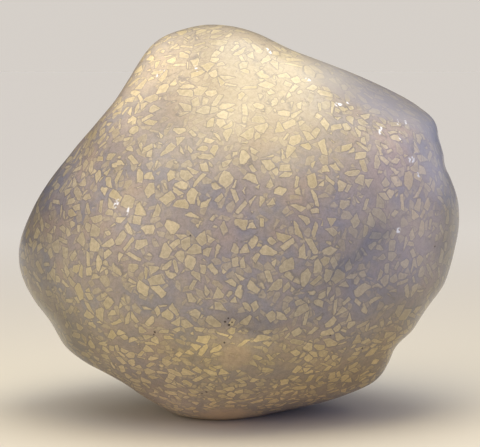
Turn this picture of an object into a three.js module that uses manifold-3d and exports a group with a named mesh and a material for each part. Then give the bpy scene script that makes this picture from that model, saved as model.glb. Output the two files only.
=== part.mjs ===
// A hand specimen of polished sandstone: one solid, freely shaped stone, ground and tumbled until its
// facets run into each other, with a small flat underneath that it stands on.
//
// Millimetres, +Z up, +X to the right and -Y towards the viewer of the good side. The origin is at the
// middle of the box round the stone, on the surface that it stands on.
import * as THREE from "three";
import { mergeVertices } from "three/addons/utils/BufferGeometryUtils.js";
import Module from "manifold-3d";

// Driving dimensions
const STONE_WIDTH = 120; // along X, over the widest part
const STONE_DEPTH = 92; // along Y
const HEART_HEIGHT = 52; // of the stone's middle, which the facets are measured from
const OUTLINE_UNIT = STONE_WIDTH / 120; // the outline below is drawn for a stone 120 mm wide
const EDGE_SHARPNESS = 11; // between two facets: 2 is a round pebble, 20 a cut block
const RIM_SHARPNESS = 20; // between the facets and the rim that the outline makes
const RIM_SPREAD = 38; // degrees either side of the rim where the outline's notches fade out
const NOTCH_WINDOW = 26; // degrees either side, over which the faded outline is averaged
const REST_DEPTH = 1.6; // ground off underneath, above the lowest point
const SLANTS = 90; // steps from the front to the back, where the widest place is looked for
const MESH_DETAIL = 18; // each edge of the starting icosahedron is cut into this many plus one

// The stone's outline seen from the good side, as [x, height], clockwise from the left shoulder.
const OUTLINE = [
  [-20.3, 104],
  [-9, 107.4],
  [3.1, 105.9],
  [13.9, 100.8],
  [29, 95.3],
  [42.6, 89.4],
  [52.4, 83.2],
  [55.1, 77.2],
  [57.7, 67.8],
  [60.1, 59.8],
  [59.5, 49.6],
  [56.4, 38.1],
  [49.4, 28.8],
  [42.4, 19.4],
  [38.3, 11.6],
  [30.7, 7.2],
  [14.2, 2],
  [-3.7, -1.2],
  [-16.1, 0.6],
  [-27, 7.8],
  [-37.4, 14.3],
  [-46.8, 20.3],
  [-52.9, 28.6],
  [-58.8, 37.8],
  [-60.3, 46.4],
  [-55.1, 59.7],
  [-44.5, 74.1],
  [-34.1, 86],
  [-27.8, 95.5],
];

// Facets that close the front and the back. turn is the way each one faces, in degrees from the viewer
// round to +X, tilt is how far it faces up, and reach is its distance from the heart.
const FACETS = [
  { name: "good face", turn: -5, tilt: 19, reach: 41.5 },
  { name: "middle of the good face", turn: -8, tilt: -6, reach: 42.7 },
  { name: "brow between the good face and the crown", turn: -3, tilt: 32, reach: 45.6 },
  { name: "crown", turn: 4, tilt: 40, reach: 45.9 },
  { name: "left crown", turn: -22, tilt: 53, reach: 45.7 },
  { name: "crown top", turn: -5, tilt: 73, reach: 55.9 },
  { name: "left shoulder", turn: -39, tilt: 50, reach: 50.2 },
  { name: "upper left flank", turn: -63, tilt: 27, reach: 50.2 },
  { name: "left bevel", turn: -94, tilt: 35, reach: 52.4 },
  { name: "left side", turn: -45, tilt: 0, reach: 47.8 },
  { name: "left side, below", turn: -60, tilt: -24, reach: 52.9 },
  { name: "right cheek", turn: 34, tilt: 8, reach: 44.5 },
  { name: "upper cheek", turn: 31, tilt: 29, reach: 46.9 },
  { name: "cheek over the lower face", turn: 21, tilt: -17, reach: 45.8 },
  { name: "right side", turn: 69, tilt: 2, reach: 56.5 },
  { name: "right shoulder slope", turn: 74, tilt: 33, reach: 46.2 },
  { name: "right bevel, over the shoulder", turn: 68, tilt: 41, reach: 52.5 },
  { name: "right bevel, behind the shoulder", turn: 79, tilt: 36, reach: 53.3 },
  { name: "right side, below", turn: 59, tilt: -25, reach: 56 },
  { name: "lower face", turn: -1, tilt: -45, reach: 49.2 },
  { name: "front underside", turn: -3, tilt: -64, reach: 47.5 },
  { name: "sole", turn: 0, tilt: -90, reach: 49 },
  { name: "lower right cheek", turn: 29, tilt: -35, reach: 51.2 },
  { name: "lower left cheek", turn: -27, tilt: -32, reach: 50.2 },
  { name: "right underside", turn: 44, tilt: -67, reach: 51.7 },
  { name: "upper back", turn: 172, tilt: 24, reach: 42 },
  { name: "lower back", turn: -176, tilt: -12, reach: 46 },
  { name: "back crown", turn: 155, tilt: 64, reach: 48.2 },
  { name: "back underside", turn: -170, tilt: -50, reach: 49.5 },
  { name: "back right", turn: 128, tilt: 9, reach: 49.6 },
  { name: "back left", turn: -139, tilt: 0, reach: 48.3 },
  { name: "back right shoulder", turn: 126, tilt: 32, reach: 54.2 },
  { name: "back left shoulder", turn: -128, tilt: 34, reach: 45.4 },
  { name: "back right haunch", turn: 128, tilt: -38, reach: 51 },
  { name: "back left haunch", turn: -118, tilt: -38, reach: 52 },
];

// Swells and hollows left by the polishing, each centred on a direction from the heart. spread is its
// angular radius in degrees, and rise is in millimetres, less than nothing for a hollow.
const RELIEF = [
  { name: "top of the groove by the right side", turn: 57, tilt: 3, spread: 8, rise: -0.9 },
  { name: "upper middle of that groove", turn: 46, tilt: -7, spread: 8, rise: -1.5 },
  { name: "lower middle of that groove", turn: 38, tilt: -16, spread: 9, rise: -1.9 },
  { name: "foot of that groove", turn: 27, tilt: -25, spread: 9, rise: -1.5 },
  { name: "left end of the hollow over the lower swell", turn: -6, tilt: -28, spread: 7, rise: -1 },
  { name: "right end of that hollow", turn: 3, tilt: -27, spread: 7, rise: -0.9 },
  { name: "lower swell", turn: -7, tilt: -34, spread: 14, rise: 1.6 },
  { name: "saddle between the two crowns", turn: -20, tilt: 53, spread: 18, rise: -1.7 },
  { name: "hollow under the right shoulder", turn: 66, tilt: 22, spread: 9, rise: -1.3 },
  { name: "swell of the right side", turn: 65, tilt: 17, spread: 15, rise: 1.8 },
  { name: "hollow over the right foot", turn: 58, tilt: -44, spread: 11, rise: -2 },
  { name: "back hollow", turn: 158, tilt: 6, spread: 22, rise: -2.2 },
  { name: "back swell", turn: -150, tilt: -14, spread: 20, rise: 2 },
  { name: "hollow on the back right", turn: 108, tilt: -16, spread: 18, rise: -2 },
  { name: "swell on the far left", turn: -95, tilt: 25, spread: 12, rise: 2.8 },
  { name: "hollow behind the crown", turn: -166, tilt: 56, spread: 19, rise: -1.4 },
];

const degrees = THREE.MathUtils.degToRad;

// A unit vector from turn and tilt.
function facing({ turn, tilt }) {
  const across = Math.cos(degrees(tilt));
  return new THREE.Vector3(
    across * Math.sin(degrees(turn)),
    -across * Math.cos(degrees(turn)),
    Math.sin(degrees(tilt)),
  );
}

// The distance from the heart to the outline, as a function of the angle in the XZ plane.
function outlineReach() {
  const samples = 1440;
  const drawn = OUTLINE.map(
    ([x, height]) => new THREE.Vector3(x, 0, height - HEART_HEIGHT).multiplyScalar(OUTLINE_UNIT),
  );
  const curve = new THREE.CatmullRomCurve3(drawn, true, "centripetal");
  const polar = curve
    .getPoints(samples)
    .slice(0, samples)
    .map((p) => ({ angle: Math.atan2(p.z, p.x), reach: Math.hypot(p.x, p.z) }))
    .sort((a, b) => a.angle - b.angle);
  const first = polar[0];
  const last = polar[samples - 1];
  polar.unshift({ angle: last.angle - 2 * Math.PI, reach: last.reach });
  polar.push({ angle: first.angle + 2 * Math.PI, reach: first.reach });
  return (angle) => {
    let low = 0;
    let high = polar.length - 1;
    while (high - low > 1) {
      const middle = (low + high) >> 1;
      if (polar[middle].angle <= angle) low = middle;
      else high = middle;
    }
    const share = (angle - polar[low].angle) / (polar[high].angle - polar[low].angle);
    return THREE.MathUtils.lerp(polar[low].reach, polar[high].reach, share);
  };
}

// The outline's notches are deepest at the rim and fade towards the front and the back, where it runs
// through the mean of what lies either side.
function fadingOutline(outline) {
  const window = degrees(NOTCH_WINDOW);
  const steps = 12;
  const averaged = (angle) => {
    let sum = 0;
    for (let i = -steps; i <= steps; i += 1) {
      const turned = angle + (window * i) / steps;
      sum += outline(Math.atan2(Math.sin(turned), Math.cos(turned)));
    }
    return sum / (2 * steps + 1);
  };
  return (way) => {
    const angle = Math.atan2(way.z, way.x);
    const fromRim = Math.asin(THREE.MathUtils.clamp(way.y, -1, 1)) / degrees(RIM_SPREAD);
    const crisp = Math.exp(-fromRim * fromRim);
    return THREE.MathUtils.lerp(averaged(angle), outline(angle), crisp);
  };
}

// The distance from the heart to the stone's surface along a unit vector. Each facet says how near its
// limit the vector comes, and a power mean rounds the edges between them. A second, sharper one rounds the
// rim between them and the outline, which is carried through from front to back.
function stoneReach(outline) {
  const sides = fadingOutline(outline);
  const facets = FACETS.map((facet) => ({ normal: facing(facet), reach: facet.reach }));
  const relief = RELIEF.map((swell) => ({ ...swell, centre: facing(swell) }));
  return (way) => {
    let crowding = 0;
    for (const { normal, reach } of facets) {
      crowding += Math.pow(Math.max(0, way.dot(normal)) / reach, EDGE_SHARPNESS);
    }
    crowding = Math.pow(crowding, RIM_SHARPNESS / EDGE_SHARPNESS);
    crowding += Math.pow(Math.hypot(way.x, way.z) / sides(way), RIM_SHARPNESS);
    let reach = Math.pow(crowding, -1 / RIM_SHARPNESS);
    for (const { centre, spread, rise } of relief) {
      const off = way.angleTo(centre) / degrees(spread);
      reach += rise * Math.exp(-off * off);
    }
    return reach;
  };
}

// How much wider the outline is, in each direction of the XZ plane, than the widest that the rounded
// facets leave there.
function outlineStretch(outline, reach) {
  const way = new THREE.Vector3();
  return (angle) => {
    let widest = 0;
    for (let slant = 0; slant <= SLANTS; slant += 1) {
      const fromViewer = (Math.PI * slant) / SLANTS;
      way.set(Math.cos(angle), 0, Math.sin(angle)).multiplyScalar(Math.sin(fromViewer));
      way.y = -Math.cos(fromViewer);
      widest = Math.max(widest, reach(way) * Math.sin(fromViewer));
    }
    return outline(angle) / widest;
  };
}

function roughStone() {
  const geometry = new THREE.IcosahedronGeometry(1, MESH_DETAIL);
  geometry.deleteAttribute("normal");
  geometry.deleteAttribute("uv");
  const stone = mergeVertices(geometry, 1e-5);
  const outline = outlineReach();
  const reach = stoneReach(outline);
  const stretch = outlineStretch(outline, reach);
  const way = new THREE.Vector3();
  const places = stone.getAttribute("position");
  for (let i = 0; i < places.count; i += 1) {
    way.fromBufferAttribute(places, i).normalize();
    const wider = stretch(Math.atan2(way.z, way.x));
    way.multiplyScalar(reach(way));
    places.setXYZ(i, way.x * wider, way.y, way.z * wider);
  }
  stone.computeBoundingBox();
  const size = stone.boundingBox.getSize(new THREE.Vector3());
  return stone.scale(STONE_WIDTH / size.x, STONE_DEPTH / size.y, 1).translate(0, 0, HEART_HEIGHT);
}

const wasm = await Module();
wasm.setup();

function solidOf(geometry) {
  const merged = mergeVertices(geometry, 1e-5);
  return new wasm.Manifold(
    new wasm.Mesh({
      numProp: 3,
      vertProperties: new Float32Array(merged.getAttribute("position").array),
      triVerts: new Uint32Array(merged.index.array),
    }),
  );
}

function geometryOf(solid) {
  const mesh = solid.getMesh();
  const geometry = new THREE.BufferGeometry();
  geometry.setAttribute("position", new THREE.BufferAttribute(new Float32Array(mesh.vertProperties), 3));
  geometry.setIndex(new THREE.BufferAttribute(new Uint32Array(mesh.triVerts), 1));
  return geometry;
}

// A block whose top face grinds the stone's underside flat.
function grindingBlock() {
  const side = 3 * STONE_WIDTH;
  const block = new THREE.BoxGeometry(side, side, side);
  block.deleteAttribute("normal");
  block.deleteAttribute("uv");
  block.translate(0, 0, REST_DEPTH - side / 2);
  return block;
}

function standingStone() {
  const ground = solidOf(roughStone()).subtract(solidOf(grindingBlock()));
  const geometry = geometryOf(ground);
  geometry.computeBoundingBox();
  const middle = geometry.boundingBox.getCenter(new THREE.Vector3());
  geometry.translate(-middle.x, -middle.y, -geometry.boundingBox.min.z);
  return geometry;
}

const sandstone = new THREE.MeshStandardMaterial({ color: 0xa39382, roughness: 0.25, metalness: 0 });

const stone = new THREE.Mesh(standingStone(), sandstone);
stone.name = "stone";

const part = new THREE.Group();
part.add(stone);
export default part;
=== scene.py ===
import math

import bpy
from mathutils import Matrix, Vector


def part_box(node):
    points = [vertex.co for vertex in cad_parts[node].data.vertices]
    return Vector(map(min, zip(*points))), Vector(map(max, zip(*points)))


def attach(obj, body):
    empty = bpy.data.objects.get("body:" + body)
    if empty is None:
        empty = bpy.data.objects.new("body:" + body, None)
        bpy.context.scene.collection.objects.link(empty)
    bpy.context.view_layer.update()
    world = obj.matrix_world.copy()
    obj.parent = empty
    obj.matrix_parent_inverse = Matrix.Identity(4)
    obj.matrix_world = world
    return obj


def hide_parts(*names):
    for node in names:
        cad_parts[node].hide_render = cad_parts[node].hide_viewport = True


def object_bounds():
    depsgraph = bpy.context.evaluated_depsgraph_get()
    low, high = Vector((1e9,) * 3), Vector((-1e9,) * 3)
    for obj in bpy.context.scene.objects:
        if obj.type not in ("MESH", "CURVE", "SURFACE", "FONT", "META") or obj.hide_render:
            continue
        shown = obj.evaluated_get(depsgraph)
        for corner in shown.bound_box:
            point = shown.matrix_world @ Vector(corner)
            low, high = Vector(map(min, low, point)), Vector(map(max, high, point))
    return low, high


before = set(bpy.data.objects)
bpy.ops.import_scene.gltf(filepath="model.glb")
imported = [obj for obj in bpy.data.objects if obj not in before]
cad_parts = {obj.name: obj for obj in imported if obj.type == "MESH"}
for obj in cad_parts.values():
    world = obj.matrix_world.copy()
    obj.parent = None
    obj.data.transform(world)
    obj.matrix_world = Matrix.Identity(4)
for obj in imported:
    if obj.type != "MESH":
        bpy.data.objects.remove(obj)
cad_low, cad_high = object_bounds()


# The stone: one piece of sandstone, ground to soft facets and polished by tumbling. Nothing is fixed to it.
# It grows here from a sphere round its middle out to the rough solid. Then it is smoothed, its rim is given
# soft corners and dents, and it is waved, ground flat underneath and pitted.
STONE_MIDDLE = (Vector(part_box("stone")[0]) + Vector(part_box("stone")[1])) / 2
SEED_RADIUS = 0.02
SEED_FINENESS = 7
POLISHING_FORCE = 0.5
POLISHING_PASSES = 8
WAVE_LENGTH = 0.014
WAVE_HEIGHT = 0.0004
SHARPEST_SMOOTH_EDGE = math.radians(40)

bpy.ops.object.select_all(action="DESELECT")
bpy.ops.mesh.primitive_ico_sphere_add(subdivisions=SEED_FINENESS, radius=SEED_RADIUS, location=STONE_MIDDLE)
stone = bpy.context.object
stone.name = "polished_stone"

grown = stone.modifiers.new("grown_to_the_rough_stone", "SHRINKWRAP")
grown.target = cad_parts["stone"]
grown.wrap_method = "PROJECT"
grown.use_negative_direction = False
grown.use_positive_direction = True
bpy.ops.object.modifier_apply(modifier=grown.name)
bpy.ops.object.transform_apply(location=True, rotation=True, scale=True)

polished = stone.modifiers.new("polished", "SMOOTH")
polished.factor = POLISHING_FORCE
polished.iterations = POLISHING_PASSES
bpy.ops.object.modifier_apply(modifier=polished.name)

# Soft corners, swells and dents round the rim: where each is strongest, how far it reaches along X, Y and
# Z, and how it moves the surface there.
RIM_SWELLS = (
    ((0.0545, 0.0, 0.0800), (0.0060, 0.03, 0.0060), (0.0009, 0.0, 0.0)),
    ((0.0575, 0.0, 0.0676), (0.0035, 0.03, 0.0035), (-0.0004, 0.0, 0.0)),
    ((0.0600, 0.0, 0.0530), (0.0120, 0.03, 0.0150), (0.0005, 0.0, 0.0)),
    ((0.0510, 0.0, 0.0305), (0.0080, 0.03, 0.0080), (-0.0005, 0.0, 0.0003)),
    ((0.0430, 0.0, 0.0205), (0.0060, 0.03, 0.0060), (-0.0009, 0.0, 0.0004)),
    ((-0.0505, 0.0, 0.0250), (0.0080, 0.03, 0.0080), (0.0005, 0.0, 0.0004)),
    ((-0.0320, 0.0, 0.0110), (0.0110, 0.03, 0.0090), (0.0004, 0.0, 0.0010)),
    ((-0.0235, 0.0, 0.1005), (0.0100, 0.03, 0.0120), (-0.0005, 0.0, 0.0003)),
)
for corner in stone.data.vertices:
    for middle, reach, move in RIM_SWELLS:
        away = math.hypot(*((at - centre) / far for at, centre, far in zip(corner.co, middle, reach)))
        if away < 1.0:
            corner.co += (1.0 - away * away) ** 2 * Vector(move)

waves = bpy.data.textures.new("polishing_waves", "CLOUDS")
waves.noise_scale = WAVE_LENGTH
waves.noise_depth = 1
waved = stone.modifiers.new("waved", "DISPLACE")
waved.texture = waves
waved.texture_coords = "LOCAL"
waved.strength = WAVE_HEIGHT
bpy.ops.object.modifier_apply(modifier=waved.name)
for corner in stone.data.vertices:
    corner.co.z = max(corner.co.z, cad_low[2])

# Small pits, where grains came out in the tumbling: about where each lies, and its radius.
PITS = (
    ((-0.0031, -0.044, 0.0313), 0.00028),
    ((-0.0023, -0.044, 0.0323), 0.00024),
    ((-0.0021, -0.044, 0.0304), 0.00030),
    ((-0.0014, -0.044, 0.0311), 0.00022),
    ((-0.0033, -0.043, 0.0258), 0.00024),
    ((-0.0207, -0.039, 0.0281), 0.00030),
    ((-0.0211, -0.039, 0.0273), 0.00022),
    ((-0.0117, -0.044, 0.0528), 0.00020),
    ((-0.0080, -0.033, 0.0116), 0.00030),
    ((-0.0092, -0.032, 0.0108), 0.00024),
    ((0.0516, -0.022, 0.0478), 0.00024),
    ((0.0236, -0.036, 0.0265), 0.00022),
    ((0.0323, -0.028, 0.0219), 0.00026),
    ((-0.0300, 0.036, 0.0600), 0.00030),
    ((0.0120, 0.044, 0.0420), 0.00030),
)
pits = [(stone.closest_point_on_mesh(spot)[1], radius) for spot, radius in PITS]
bpy.ops.object.select_all(action="DESELECT")
cutters = []
for spot, radius in pits:
    bpy.ops.mesh.primitive_ico_sphere_add(subdivisions=2, radius=radius, location=spot)
    cutters.append(bpy.context.object)
for cutter in cutters:
    cutter.select_set(True)
bpy.ops.object.join()
pit_cutter = bpy.context.object
pitted = stone.modifiers.new("pitted", "BOOLEAN")
pitted.operation = "DIFFERENCE"
pitted.object = pit_cutter
bpy.context.view_layer.objects.active = stone
bpy.ops.object.modifier_apply(modifier=pitted.name)
bpy.data.objects.remove(pit_cutter)
bpy.ops.object.select_all(action="DESELECT")
stone.select_set(True)
bpy.ops.object.shade_smooth_by_angle(angle=SHARPEST_SMOOTH_EDGE)


def wired(tree, kind, sockets, **properties):
    """A shader node with its properties set and each of its inputs wired or given a value."""
    made = tree.nodes.new(kind)
    for name, value in properties.items():
        setattr(made, name, value)
    for name, value in sockets.items():
        if isinstance(value, bpy.types.NodeSocket):
            tree.links.new(value, made.inputs[name])
        else:
            made.inputs[name].default_value = value
    return made


def maths(tree, operation, *values):
    """What one Math node makes of its values."""
    sockets = dict(enumerate(values))
    return wired(tree, "ShaderNodeMath", sockets, operation=operation).outputs[0]


def product(tree, first, *others):
    """Several numbers or masks, multiplied."""
    for other in others:
        first = maths(tree, "MULTIPLY", first, other)
    return first


def vector_maths(tree, operation, *values):
    """What one Vector Math node makes of its values."""
    made = wired(tree, "ShaderNodeVectorMath", dict(enumerate(values)), operation=operation)
    return made.outputs["Value" if operation in ("DOT_PRODUCT", "LENGTH") else "Vector"]


def scaled(tree, vector, factor):
    """A vector or a colour, times one number."""
    made = wired(tree, "ShaderNodeVectorMath", {0: vector, "Scale": factor}, operation="SCALE")
    return made.outputs["Vector"]


def centred(tree, random_colour):
    """A random colour as a vector that may point any way."""
    return vector_maths(tree, "SUBTRACT", random_colour, (0.5, 0.5, 0.5))


def ramp(tree, value, low, high, low_out=0.0, high_out=1.0):
    """low_out where value is low, high_out where it is high, with a soft change between."""
    sockets = {"Value": value, "From Min": low, "From Max": high, "To Min": low_out, "To Max": high_out}
    return wired(tree, "ShaderNodeMapRange", sockets, interpolation_type="SMOOTHSTEP").outputs["Result"]


def blended(tree, share, under, over, blend="MIX"):
    """One colour laid over another. Inputs 6 and 7 and output 2 of a Mix node are its colours."""
    sockets = {0: share, 6: under, 7: over}
    return wired(tree, "ShaderNodeMix", sockets, data_type="RGBA", blend_type=blend).outputs[2]


def tinted(tree, share, colour, tint):
    """The colour, multiplied by a tint as far as share goes."""
    return blended(tree, share, colour, (*tint, 1.0), "MULTIPLY")


# The sizes of a shard, in shares of its bed's spacing. How thick it is and how far it reaches are drawn at
# random, each from the least value up to that value with its spread added.
LEAST_HALF_THICKNESS = 0.10
SPREAD_OF_THICKNESS = 0.30
LEAST_REACH = 0.20
SPREAD_OF_REACH = 0.28
CORNER_ROUNDING = 0.02
CHANCE_STEP = (7.31, 3.17, 5.53)  # how far each further random draw moves a cell's seed


def shard_group():
    """Angular shards of one bed of the rock. Each cell of a Voronoi pattern holds one shard at most, which
    is what a slab and three planes, all turned at random, leave of the cell."""
    group = bpy.data.node_groups.new("angular_shards", "ShaderNodeTree")
    group.interface.new_socket(name="Place", in_out="INPUT", socket_type="NodeSocketVector")
    for name in ("Spacing", "Share", "Gap", "Softness", "Rim", "Rind"):
        group.interface.new_socket(name=name, in_out="INPUT", socket_type="NodeSocketFloat")
    for name in ("Shard", "Rim", "Rind", "Tone", "Tilt"):
        group.interface.new_socket(name=name, in_out="OUTPUT", socket_type="NodeSocketFloat")
    given = group.nodes.new("NodeGroupInput").outputs
    result = group.nodes.new("NodeGroupOutput").inputs

    place = scaled(group, given["Place"], maths(group, "DIVIDE", 1.0, given["Spacing"]))

    def cells(feature):
        sockets = {"Vector": place, "Scale": 1.0}
        made = wired(group, "ShaderNodeTexVoronoi", sockets, voronoi_dimensions="3D", feature=feature)
        return made.outputs

    seed = cells("F1")["Position"]
    local = vector_maths(group, "SUBTRACT", place, seed)

    def chance(number):
        """Random numbers, the same all over a cell."""
        shifted = vector_maths(group, "ADD", seed, [number * step for step in CHANCE_STEP])
        return wired(group, "ShaderNodeTexWhiteNoise", {"Vector": shifted}, noise_dimensions="3D").outputs

    def random_way(number):
        return vector_maths(group, "NORMALIZE", centred(group, chance(number)["Color"]))

    sizes = wired(group, "ShaderNodeSeparateColor", {"Color": chance(1)["Color"]}).outputs
    across = maths(group, "ABSOLUTE", vector_maths(group, "DOT_PRODUCT", local, random_way(2)))
    half_thick = maths(group, "MULTIPLY_ADD", sizes["Red"], SPREAD_OF_THICKNESS, LEAST_HALF_THICKNESS)
    inside = maths(group, "SUBTRACT", half_thick, across)
    first = random_way(3)
    second = random_way(4)
    between = vector_maths(group, "NORMALIZE", vector_maths(group, "ADD", first, second))
    opposite = scaled(group, between, -1.0)
    for way, room in ((first, sizes["Green"]), (second, sizes["Blue"]), (opposite, sizes["Green"])):
        reach = maths(group, "MULTIPLY_ADD", room, SPREAD_OF_REACH, LEAST_REACH)
        left = maths(group, "SUBTRACT", reach, vector_maths(group, "DOT_PRODUCT", local, way))
        inside = maths(group, "SMOOTH_MIN", inside, left, CORNER_ROUNDING)
    from_wall = maths(group, "SUBTRACT", cells("DISTANCE_TO_EDGE")["Distance"], given["Gap"])
    inside = maths(group, "SMOOTH_MIN", inside, from_wall, CORNER_ROUNDING)

    present = maths(group, "LESS_THAN", chance(5)["Value"], given["Share"])
    minus_soft = maths(group, "MULTIPLY", given["Softness"], -1.0)
    shard = product(group, ramp(group, inside, minus_soft, given["Softness"]), present)
    minus_rim = maths(group, "MULTIPLY", given["Rim"], -1.0)
    leaning = vector_maths(group, "DOT_PRODUCT", local, random_way(7))
    for name, value in (
        ("Shard", shard),
        ("Rim", product(group, ramp(group, inside, minus_rim, 0.0), present)),
        ("Rind", ramp(group, inside, 0.0, given["Rind"], 1.0, 0.0)),
        ("Tone", chance(6)["Value"]),
        ("Tilt", product(group, leaning, shard)),
    ):
        group.links.new(value, result[name])
    return group


# The rock's fine matrix: mauve with blue-grey blotches and pink patches, with a painted warm highlight over
# the crown, and darker low down.
MATRIX_MAUVE = (0.288, 0.256, 0.262, 1.0)
MATRIX_BLUE = (0.243, 0.235, 0.272, 1.0)
MATRIX_PINK = (0.350, 0.290, 0.260, 1.0)
MATRIX_WARM_SHEEN = (0.360, 0.312, 0.250, 1.0)
MATRIX_LOW = (0.226, 0.204, 0.208, 1.0)
BLOTCH_SCALE = 110.0
BLOTCH_EDGE = (0.40, 0.62)
PATCH_SCALE = 70.0
PATCH_EDGE = (0.50, 0.68)
PATCH_OFFSET = (0.31, 0.17, 0.23)
MOTTLE_SCALE = 1100.0
GRAIN_SCALE = 3200.0
TONE_WANDER = 0.006
CROWN_SHEEN = ((0.002, -0.02, 0.092), (0.040, 0.06, 0.032))
FOOT_FULL = 0.012  # the foot's colours are full up to here, and gone at its top
FOOT_TOP = 0.040
LOW_SHARE = 0.6

sandstone = bpy.data.materials.new("polished_sandstone")
sandstone.use_nodes = True
tree = sandstone.node_tree
skin = tree.nodes["Principled BSDF"]
place = wired(tree, "ShaderNodeTexCoord", {}).outputs["Object"]


def noise(scale, detail, where=place, **sockets):
    """A noise pattern in the rock, with about so many bumps to the metre."""
    sockets = {"Vector": where, "Scale": scale, "Detail": detail, **sockets}
    return wired(tree, "ShaderNodeTexNoise", sockets).outputs


blotches = noise(BLOTCH_SCALE, 3.0, Roughness=0.55)
patches = noise(PATCH_SCALE, 2.0, vector_maths(tree, "ADD", place, PATCH_OFFSET))
mottle = noise(MOTTLE_SCALE, 1.0)
grain = noise(GRAIN_SCALE, 1.0)
drift = scaled(tree, centred(tree, blotches["Color"]), TONE_WANDER)
drifted = vector_maths(tree, "ADD", place, drift)
drifted_x, drifted_y, drifted_z = wired(tree, "ShaderNodeSeparateXYZ", {"Vector": drifted}).outputs
height = wired(tree, "ShaderNodeSeparateXYZ", {"Vector": place}).outputs["Z"]
low_down = ramp(tree, height, FOOT_FULL, FOOT_TOP, 1.0, 0.0)


def near(middle, reach, where=drifted, core=0.2, lean=0.0):
    """1 in the core of an ellipsoid, falling softly to 0 at its reach. It leans by so many degrees, its
    right end upwards."""
    if lean:
        turn = {"Vector": where, "Center": middle, "Angle": math.radians(lean)}
        where = wired(tree, "ShaderNodeVectorRotate", turn, rotation_type="Y_AXIS").outputs["Vector"]
    away = vector_maths(tree, "DIVIDE", vector_maths(tree, "SUBTRACT", where, middle), reach)
    return ramp(tree, vector_maths(tree, "LENGTH", away), core, 1.0, 1.0, 0.0)


matrix = blended(tree, ramp(tree, blotches["Fac"], *BLOTCH_EDGE), MATRIX_MAUVE, MATRIX_BLUE)
matrix = blended(tree, ramp(tree, patches["Fac"], *PATCH_EDGE), matrix, MATRIX_PINK)
# Painted warm highlight over the crown, laid into the matrix colour.
matrix = blended(tree, near(*CROWN_SHEEN), matrix, MATRIX_WARM_SHEEN)
matrix = blended(tree, product(tree, low_down, LOW_SHARE), matrix, MATRIX_LOW)

# Two bare patches, where only the deepest shards show through: the middle, the reach and the core of each.
BARE_PATCHES = (
    ((-0.0005, -0.042, 0.0215), (0.006, 0.02, 0.0045), 0.4),
    ((-0.003, -0.022, 0.003), (0.009, 0.02, 0.0035), 0.5),
)
BARE_PINK = 0.85
bare = 0.0
for middle, reach, core in BARE_PATCHES:
    bare = maths(tree, "MAXIMUM", bare, near(middle, reach, core=core))
filled = maths(tree, "SUBTRACT", 1.0, bare)
matrix = blended(tree, product(tree, bare, BARE_PINK), matrix, MATRIX_PINK)

# Three beds of shards: a dim one deep in the matrix, one just under the surface, and the crisp one that the
# polish cut through. Low down they lie flatter and show a little more, and their rims are darker.
SHARD_PALE = (0.505, 0.442, 0.316, 1.0)
SHARD_DULL = (0.395, 0.347, 0.260, 1.0)
SHARD_OCHRE = (0.425, 0.368, 0.252, 1.0)
SHARD_RIND = (0.54, 0.47, 0.34, 1.0)
RIM_GREY = (0.19, 0.175, 0.185, 1.0)
RAGGEDNESS = 0.0004
FLATTER_BELOW = 0.030
FLATTENING = 0.45
DEEP_COVER = 0.25
LOW_RIM = 0.2
LOW_COVER = 0.05
MOTTLE_SHARE = 0.8
OCHRE_EDGE = (0.86, 0.90)
RIND_SHARE = 0.45
GRAIN_EDGE = (0.6, 1.4)
GRAIN_DARK = 0.88
GRAIN_LIGHT = 1.12

below = maths(tree, "MINIMUM", maths(tree, "SUBTRACT", height, FLATTER_BELOW), 0.0)
squeeze = wired(tree, "ShaderNodeCombineXYZ", {"Z": product(tree, below, FLATTENING)}).outputs["Vector"]
wander = scaled(tree, centred(tree, mottle["Color"]), RAGGEDNESS)
ragged = vector_maths(tree, "ADD", vector_maths(tree, "ADD", place, wander), squeeze)
shards = shard_group()


def shard_bed(offset, **sockets):
    """One bed of shards, moved by offset so that no two beds repeat each other."""
    sockets["Place"] = vector_maths(tree, "ADD", ragged, offset)
    return wired(tree, "ShaderNodeGroup", sockets, node_tree=shards).outputs


deep = shard_bed((0.5, 0.1, 0.3), Spacing=0.0036, Share=0.85, Gap=0.05, Softness=0.12)
under = shard_bed(
    (0.2, 0.7, 0.9), Spacing=0.0028, Share=0.75, Gap=0.04, Softness=0.035, Rim=0.14, Rind=0.12
)
top = shard_bed(
    (0.0, 0.0, 0.0), Spacing=0.0034, Share=0.97, Gap=0.045, Softness=0.028, Rim=0.11, Rind=0.10
)

colour = blended(tree, product(tree, deep["Shard"], DEEP_COVER), matrix, SHARD_DULL)
for bed, rim_share, cover in ((under, 0.4, 0.55), (top, 0.8, 0.95)):
    rim_share = maths(tree, "MULTIPLY_ADD", low_down, LOW_RIM, rim_share)
    colour = blended(tree, product(tree, bed["Rim"], filled, rim_share), colour, RIM_GREY)
    base = maths(tree, "SUBTRACT", bed["Tone"], MOTTLE_SHARE / 2)
    shade = maths(tree, "MULTIPLY_ADD", mottle["Fac"], MOTTLE_SHARE, base)
    tone = blended(tree, shade, SHARD_DULL, SHARD_PALE)
    tone = blended(tree, ramp(tree, bed["Tone"], *OCHRE_EDGE), tone, SHARD_OCHRE)
    tone = blended(tree, product(tree, bed["Rind"], RIND_SHARE), tone, SHARD_RIND)
    cover = maths(tree, "MULTIPLY_ADD", low_down, LOW_COVER, cover)
    colour = blended(tree, product(tree, bed["Shard"], filled, cover), colour, tone)
fine = maths(tree, "ADD", mottle["Fac"], grain["Fac"])
colour = blended(tree, 1.0, colour, ramp(tree, fine, *GRAIN_EDGE, GRAIN_DARK, GRAIN_LIGHT), "MULTIPLY")
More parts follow.
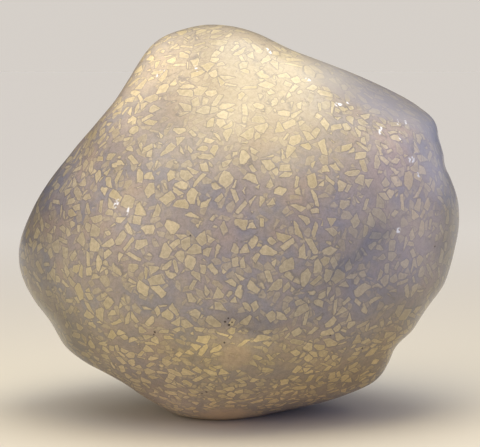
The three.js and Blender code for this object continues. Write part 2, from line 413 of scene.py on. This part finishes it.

# Painted reflections and a hazy foot. The bevel at the upper right and two patches on the right are painted
# cool reflection, which veils the shards. At the foot fewer shards show, and its warm paleness is painted
# bounce light.
# Each of the three patches has a middle, a reach, a share and a colour.
FOOT_HAZE_AND_BOUNCE = (0.60, 0.50, 0.37, 1.0)
COOL_REFLECTION = (0.305, 0.300, 0.350, 1.0)
HAZES_AND_REFLECTIONS = (
    ((-0.002, -0.02, 0.0), (0.016, 0.06, 0.005), 0.6, FOOT_HAZE_AND_BOUNCE),
    ((0.053, -0.02, 0.070), (0.014, 0.06, 0.018), 0.35, COOL_REFLECTION),
    ((0.042, -0.03, 0.050), (0.026, 0.06, 0.034), 0.32, COOL_REFLECTION),
)
# The bevel's painted reflection begins at a height along its facing, and fades out to the left and behind.
BEVEL_FACING = (0.407, 0.0, 0.913)
BEVEL_EDGE = (0.0880, 0.0908)
BEVEL_LEFT = (0.010, 0.026)
BEVEL_BACK = (-0.012, 0.022)
BEVEL_REFLECTION_SHARE = 0.7
bevel = ramp(tree, vector_maths(tree, "DOT_PRODUCT", drifted, BEVEL_FACING), *BEVEL_EDGE)
to_the_right = ramp(tree, drifted_x, *BEVEL_LEFT)
in_front = ramp(tree, drifted_y, *BEVEL_BACK, 1.0, 0.0)
# Painted cool reflection over the bevel.
colour = blended(tree, product(tree, bevel, to_the_right, in_front, BEVEL_REFLECTION_SHARE), colour, COOL_REFLECTION)
# Painted cool reflection on the right, and the foot's haze with painted warm bounce light.
for middle, reach, share, veil_colour in HAZES_AND_REFLECTIONS:
    colour = blended(tree, product(tree, near(middle, reach), share), colour, veil_colour)

# Painted shade along a soft crease that runs down to the left across the right half, and painted warm
# bounce light on the foot.
CREASE_SHADE = ((0.0307, -0.03, 0.0480), (0.016, 0.06, 0.0032))
CREASE_SHADE_LEAN = 41.0
CREASE_SHADE_TINT = (0.74, 0.79, 0.92)
FOOT_BOUNCE_TINT = (1.06, 1.0, 0.80)
# Painted shade in the crease.
colour = tinted(tree, near(*CREASE_SHADE, lean=CREASE_SHADE_LEAN), colour, CREASE_SHADE_TINT)
# Painted warm bounce light, strongest at the foot.
colour = tinted(tree, ramp(tree, drifted_z, FOOT_FULL, FOOT_TOP, 1.0, 0.0), colour, FOOT_BOUNCE_TINT)

# Broad painted light and shade over the rock, from the crown down to the foot: lighter where the stone is
# lit more, darker where it turns away. Each has a middle, how far it reaches along X, Y and Z, and a tint.
PAINTED_LIGHT_AND_SHADE = (
    ((-0.030, -0.02, 0.098), (0.024, 0.06, 0.024), (1.75, 1.72, 1.66)),
    ((0.021, -0.01, 0.095), (0.020, 0.06, 0.012), (1.34, 1.34, 1.23)),
    ((-0.009, -0.02, 0.092), (0.010, 0.06, 0.010), (1.10, 1.09, 1.07)),
    ((-0.0195, -0.02, 0.0835), (0.010, 0.06, 0.008), (0.86, 0.86, 0.90)),
    ((0.037, -0.025, 0.079), (0.012, 0.06, 0.016), (0.98, 1.0, 1.09)),
    ((-0.042, -0.02, 0.078), (0.018, 0.06, 0.018), (1.22, 1.20, 1.22)),
    ((-0.0065, -0.03, 0.078), (0.008, 0.06, 0.012), (0.96, 0.96, 0.97)),
    ((0.0385, -0.027, 0.071), (0.010, 0.04, 0.011), (1.15, 1.15, 1.22)),
    ((-0.052, -0.02, 0.066), (0.014, 0.06, 0.018), (0.72, 0.76, 0.87)),
    ((0.031, -0.03, 0.065), (0.012, 0.06, 0.012), (1.10, 1.10, 1.08)),
    ((-0.045, -0.03, 0.062), (0.018, 0.06, 0.016), (0.99, 0.99, 1.07)),
    ((0.060, -0.02, 0.062), (0.010, 0.06, 0.014), (1.02, 0.95, 0.72)),
    ((0.047, -0.03, 0.060), (0.013, 0.06, 0.030), (1.32, 1.30, 1.32)),
    ((-0.001, -0.04, 0.056), (0.009, 0.06, 0.018), (0.97, 0.98, 1.07)),
    ((-0.028, -0.03, 0.047), (0.024, 0.06, 0.034), (1.10, 1.10, 1.10)),
    ((0.034, -0.03, 0.046), (0.020, 0.06, 0.016), (0.93, 0.95, 1.04)),
    ((0.060, -0.02, 0.043), (0.013, 0.06, 0.036), (0.54, 0.53, 0.51)),
    ((-0.056, -0.02, 0.035), (0.017, 0.06, 0.034), (0.66, 0.66, 0.65)),
    ((-0.034, -0.03, 0.035), (0.028, 0.06, 0.018), (1.02, 1.00, 0.90)),
    ((0.030, -0.03, 0.033), (0.030, 0.06, 0.022), (0.88, 0.88, 0.90)),
    ((0.045, -0.03, 0.031), (0.016, 0.06, 0.014), (1.03, 1.0, 0.91)),
    ((0.0016, -0.04, 0.0308), (0.016, 0.03, 0.0045), (0.82, 0.82, 0.86)),
    ((0.0005, -0.04, 0.0260), (0.015, 0.03, 0.0045), (1.24, 1.23, 1.16)),
    ((0.046, -0.02, 0.026), (0.016, 0.06, 0.018), (0.88, 0.86, 0.80)),
    ((-0.002, -0.03, 0.024), (0.030, 0.06, 0.010), (1.08, 1.03, 0.82)),
    ((-0.050, -0.02, 0.022), (0.018, 0.06, 0.018), (0.45, 0.43, 0.37)),
    ((-0.022, -0.02, 0.014), (0.018, 0.06, 0.016), (1.10, 1.09, 1.19)),
    ((0.034, -0.02, 0.014), (0.036, 0.06, 0.020), (1.12, 1.03, 0.82)),
    ((0.001, -0.03, 0.012), (0.013, 0.06, 0.008), (1.10, 1.08, 1.06)),
    ((-0.018, -0.02, 0.004), (0.016, 0.06, 0.009), (1.0, 1.03, 1.18)),
    ((0.004, -0.02, 0.001), (0.060, 0.06, 0.014), (1.72, 1.62, 1.52)),
)
for middle, reach, tint in PAINTED_LIGHT_AND_SHADE:
    # Painted light or shade, laid over the rock's colour.
    colour = tinted(tree, near(middle, reach), colour, tint)

# Painted glints: bright white slivers, most of them along the upper ridges. Each has where it lies, its
# half length, its half width, and how far it leans.
GLINT_WHITE = (0.80, 0.84, 0.98, 1.0)
GLINT_DEPTH = 0.005
PAINTED_GLINTS = (
    ((-0.0207, -0.016, 0.0927), 0.0014, 0.0004, 60.0),
    ((-0.0196, -0.017, 0.0930), 0.0012, 0.0003, 58.0),
    ((-0.0107, -0.019, 0.0940), 0.0010, 0.0005, 110.0),
    ((0.0081, -0.015, 0.0987), 0.0016, 0.0004, -48.0),
    ((0.0182, -0.022, 0.0912), 0.0010, 0.0004, -25.0),
    ((0.0259, -0.026, 0.0848), 0.0013, 0.0007, -10.0),
    ((0.0286, -0.024, 0.0853), 0.0008, 0.0004, 0.0),
    ((0.0365, -0.028, 0.0783), 0.0014, 0.0006, 75.0),
    ((0.0414, -0.022, 0.0803), 0.0010, 0.0004, 95.0),
    ((0.0437, -0.019, 0.0803), 0.0010, 0.0004, 100.0),
    ((0.0415, -0.027, 0.0764), 0.0011, 0.0003, -60.0),
    ((0.0446, -0.028, 0.0708), 0.0013, 0.0011, 0.0),
    ((0.0464, -0.027, 0.0667), 0.0012, 0.0004, 110.0),
    ((0.0410, -0.032, 0.0529), 0.0010, 0.0008, 80.0),
    ((-0.0305, -0.037, 0.0602), 0.0016, 0.0007, 65.0),
    ((-0.0275, -0.040, 0.0585), 0.0013, 0.0004, 75.0),
)
SPECK_SCALE = 1300.0
SPECK_EDGE = (0.40, 0.56)
glint_specks = ramp(tree, noise(SPECK_SCALE, 0.0)["Fac"], *SPECK_EDGE)
for spot, long, wide, lean in PAINTED_GLINTS:
    glint = near(spot, (long, GLINT_DEPTH, wide), where=place, core=0.5, lean=lean)
    # A painted glint, laid over the rock's colour.
    colour = blended(tree, product(tree, glint, glint_specks), colour, GLINT_WHITE)

# Painted shade inside the pits, a little wider than the pits themselves.
PIT_SHADE = (0.08, 0.065, 0.055, 1.0)
PIT_SHADE_SPREAD = 1.3
for spot, radius in pits:
    colour = blended(tree, near(spot, [PIT_SHADE_SPREAD * radius] * 3, where=place, core=0.6), colour, PIT_SHADE)
tree.links.new(colour, skin.inputs["Base Color"])

# Each shard leans a little, so that some catch more light than others.
SHARD_LEAN = 0.0002
leaning = wired(tree, "ShaderNodeBump", {"Height": top["Tilt"], "Distance": SHARD_LEAN}).outputs["Normal"]
tree.links.new(leaning, skin.inputs["Normal"])

# The polish: a soft clear coat over duller stone.
skin.inputs["Roughness"].default_value = 0.4
skin.inputs["Specular IOR Level"].default_value = 0.25
skin.inputs["Coat Weight"].default_value = 0.8
skin.inputs["Coat Roughness"].default_value = 0.24
stone.data.materials.clear()
stone.data.materials.append(sandstone)
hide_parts("stone")
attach(stone, "root")


# The table that it stands on: a plain pale sheet, so large that its far edge meets the backdrop at the
# horizon, seen from any side. It isn't part of the object.
TABLE_SIDE = 60.0
TABLE_NEAR = (0.66, 0.645, 0.62, 1.0)
TABLE_FAR = (0.86, 0.87, 0.88, 1.0)
TABLE_CHANGE = (0.1, 0.6)  # how far from the stone the near colour ends and the far one begins

bpy.ops.object.select_all(action="DESELECT")
bpy.ops.mesh.primitive_plane_add(size=TABLE_SIDE, location=(0.0, 0.0, cad_low[2]))
table = bpy.context.object
table.name = "pale_table"
pale = bpy.data.materials.new("pale_table")
pale.use_nodes = True
tree = pale.node_tree
sheet = tree.nodes["Principled BSDF"]
from_stone = vector_maths(tree, "LENGTH", wired(tree, "ShaderNodeTexCoord", {}).outputs["Object"])
pale_colour = blended(tree, ramp(tree, from_stone, *TABLE_CHANGE), TABLE_NEAR, TABLE_FAR)
tree.links.new(pale_colour, sheet.inputs["Base Color"])
sheet.inputs["Roughness"].default_value = 0.9
sheet.inputs["Specular IOR Level"].default_value = 0.0
table.data.materials.append(pale)


# The light: two soft lamps above the stone and one above its front on the left, a soft bright ceiling, and
# a dim room that glows warm in front on the left, and cool on the right and behind.
CEILING = (1.54, 1.42, 1.22)
CEILING_FOCUS = 3
GLOWS = ((-50, (2.65, 2.28, 1.87)), (50, (0.66, 0.72, 1.38)), (130, (0.46, 0.53, 0.78)))
GLOW_TILT = 8
GLOW_FOCUS = 8
BACKDROP = (0.669, 0.627, 0.583, 1.0)  # as pale as the far edge of the table, which hides the edge


def soft_lamp(name, place, across, watts, colour):
    """A round lamp that faces the middle of the stone."""
    bpy.ops.object.light_add(type="AREA", location=place)
    lamp = bpy.context.object
    lamp.name = name
    lamp.data.shape = "DISK"
    lamp.data.size = across
    lamp.data.energy = watts
    lamp.data.color = colour
    lamp.rotation_euler = (STONE_MIDDLE - Vector(place)).to_track_quat("-Z", "Y").to_euler()


soft_lamp("lamp_above", (0.03, 0.0, 0.34), 0.22, 0.34, (1.0, 1.0, 0.90))
soft_lamp("lamp_above_the_crown", (0.02, -0.10, 0.32), 0.20, 0.25, (1.0, 0.77, 0.31))
soft_lamp("lamp_in_front_above", (-0.06, -0.16, 0.28), 0.22, 0.175, (1.0, 0.90, 0.72))

room = bpy.data.worlds.new("pale_room")
room.use_nodes = True
tree = room.node_tree
way_out = wired(tree, "ShaderNodeTexCoord", {}).outputs["Generated"]


def lobe(turn, tilt, focus, colour):
    """Light from the room that is strongest where turn and tilt point; turn 0 is towards the viewer."""
    turn = math.radians(turn)
    tilt = math.radians(tilt)
    way = (math.sin(turn) * math.cos(tilt), -math.cos(turn) * math.cos(tilt), math.sin(tilt))
    facing = maths(tree, "MAXIMUM", vector_maths(tree, "DOT_PRODUCT", way_out, way), 0.0)
    return scaled(tree, colour, maths(tree, "POWER", facing, focus))


light = lobe(0, 90, CEILING_FOCUS, CEILING)
for turn, glow in GLOWS:
    light = vector_maths(tree, "ADD", light, lobe(turn, GLOW_TILT, GLOW_FOCUS, glow))
seen_directly = wired(tree, "ShaderNodeLightPath", {}).outputs["Is Camera Ray"]
backdrop = blended(tree, seen_directly, light, BACKDROP)
tree.links.new(backdrop, tree.nodes["Background"].inputs["Color"])
scene = bpy.context.scene
scene.world = room
scene.view_settings.view_transform = "Standard"


# The view: the good side is looked at from a little above, through a long lens that keeps the outline
# nearly free of perspective.
LENS_MM = 135.0
VIEW_DISTANCE = 0.4905
VIEW_ABOVE = math.radians(5.0)
AIM_RIGHT = 0.0006
AIM_BELOW_MIDDLE = 0.0010

aim = Vector((AIM_RIGHT, 0.0, (cad_low[2] + cad_high[2]) / 2 - AIM_BELOW_MIDDLE))
to_viewer = Vector((0.0, -math.cos(VIEW_ABOVE), math.sin(VIEW_ABOVE)))
bpy.ops.object.camera_add(
    location=aim + VIEW_DISTANCE * to_viewer,
    rotation=(math.pi / 2 - VIEW_ABOVE, 0.0, 0.0),
)
camera = bpy.context.object
camera.name = "view_of_the_good_side"
camera.data.lens = LENS_MM
camera.data.clip_start = 0.01
scene.camera = camera
